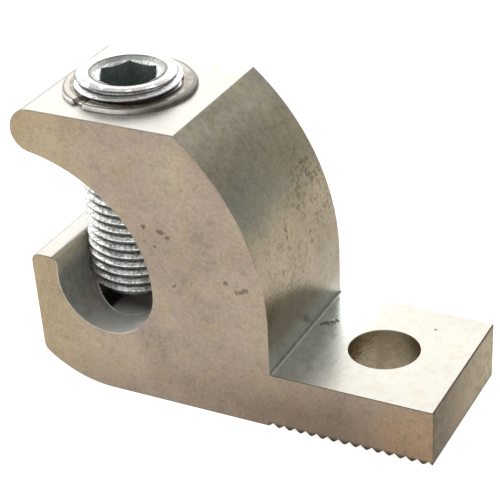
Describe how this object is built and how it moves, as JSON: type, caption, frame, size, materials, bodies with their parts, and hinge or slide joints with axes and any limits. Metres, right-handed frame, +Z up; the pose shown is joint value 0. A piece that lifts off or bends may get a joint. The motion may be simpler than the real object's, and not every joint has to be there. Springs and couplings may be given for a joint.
{
  "type": "lay-in earthing clamp",
  "caption": "Lay-in earthing clamp: an extruded aluminium hook with an open throat, a hex-socket clamping screw through its jaw, and a drilled tang with a serrated underside.",
  "frame": {"origin": "on the bolt hole's axis, in the plane that the lug stands on", "axes": "+X along the tang to its free end, +Y across the sawn width, +Z up the clamping screw"},
  "size_m": [0.065, 0.0254, 0.0465],
  "materials": {
    "lug_body": "tin-plated aluminium extrusion, dull with handling marks",
    "clamp_screw": "bright zinc-plated steel"
  },
  "bodies": {
    "lug": {"lug_body": "lug_body"},
    "screw": {"clamp_screw": "clamp_screw"}
  },
  "joints": [
    {"name": "screw_travel", "type": "slide", "parent": "lug", "child": "screw", "axis": [0, 0, 1], "range_m": [0, 0.0215]}
  ]
}
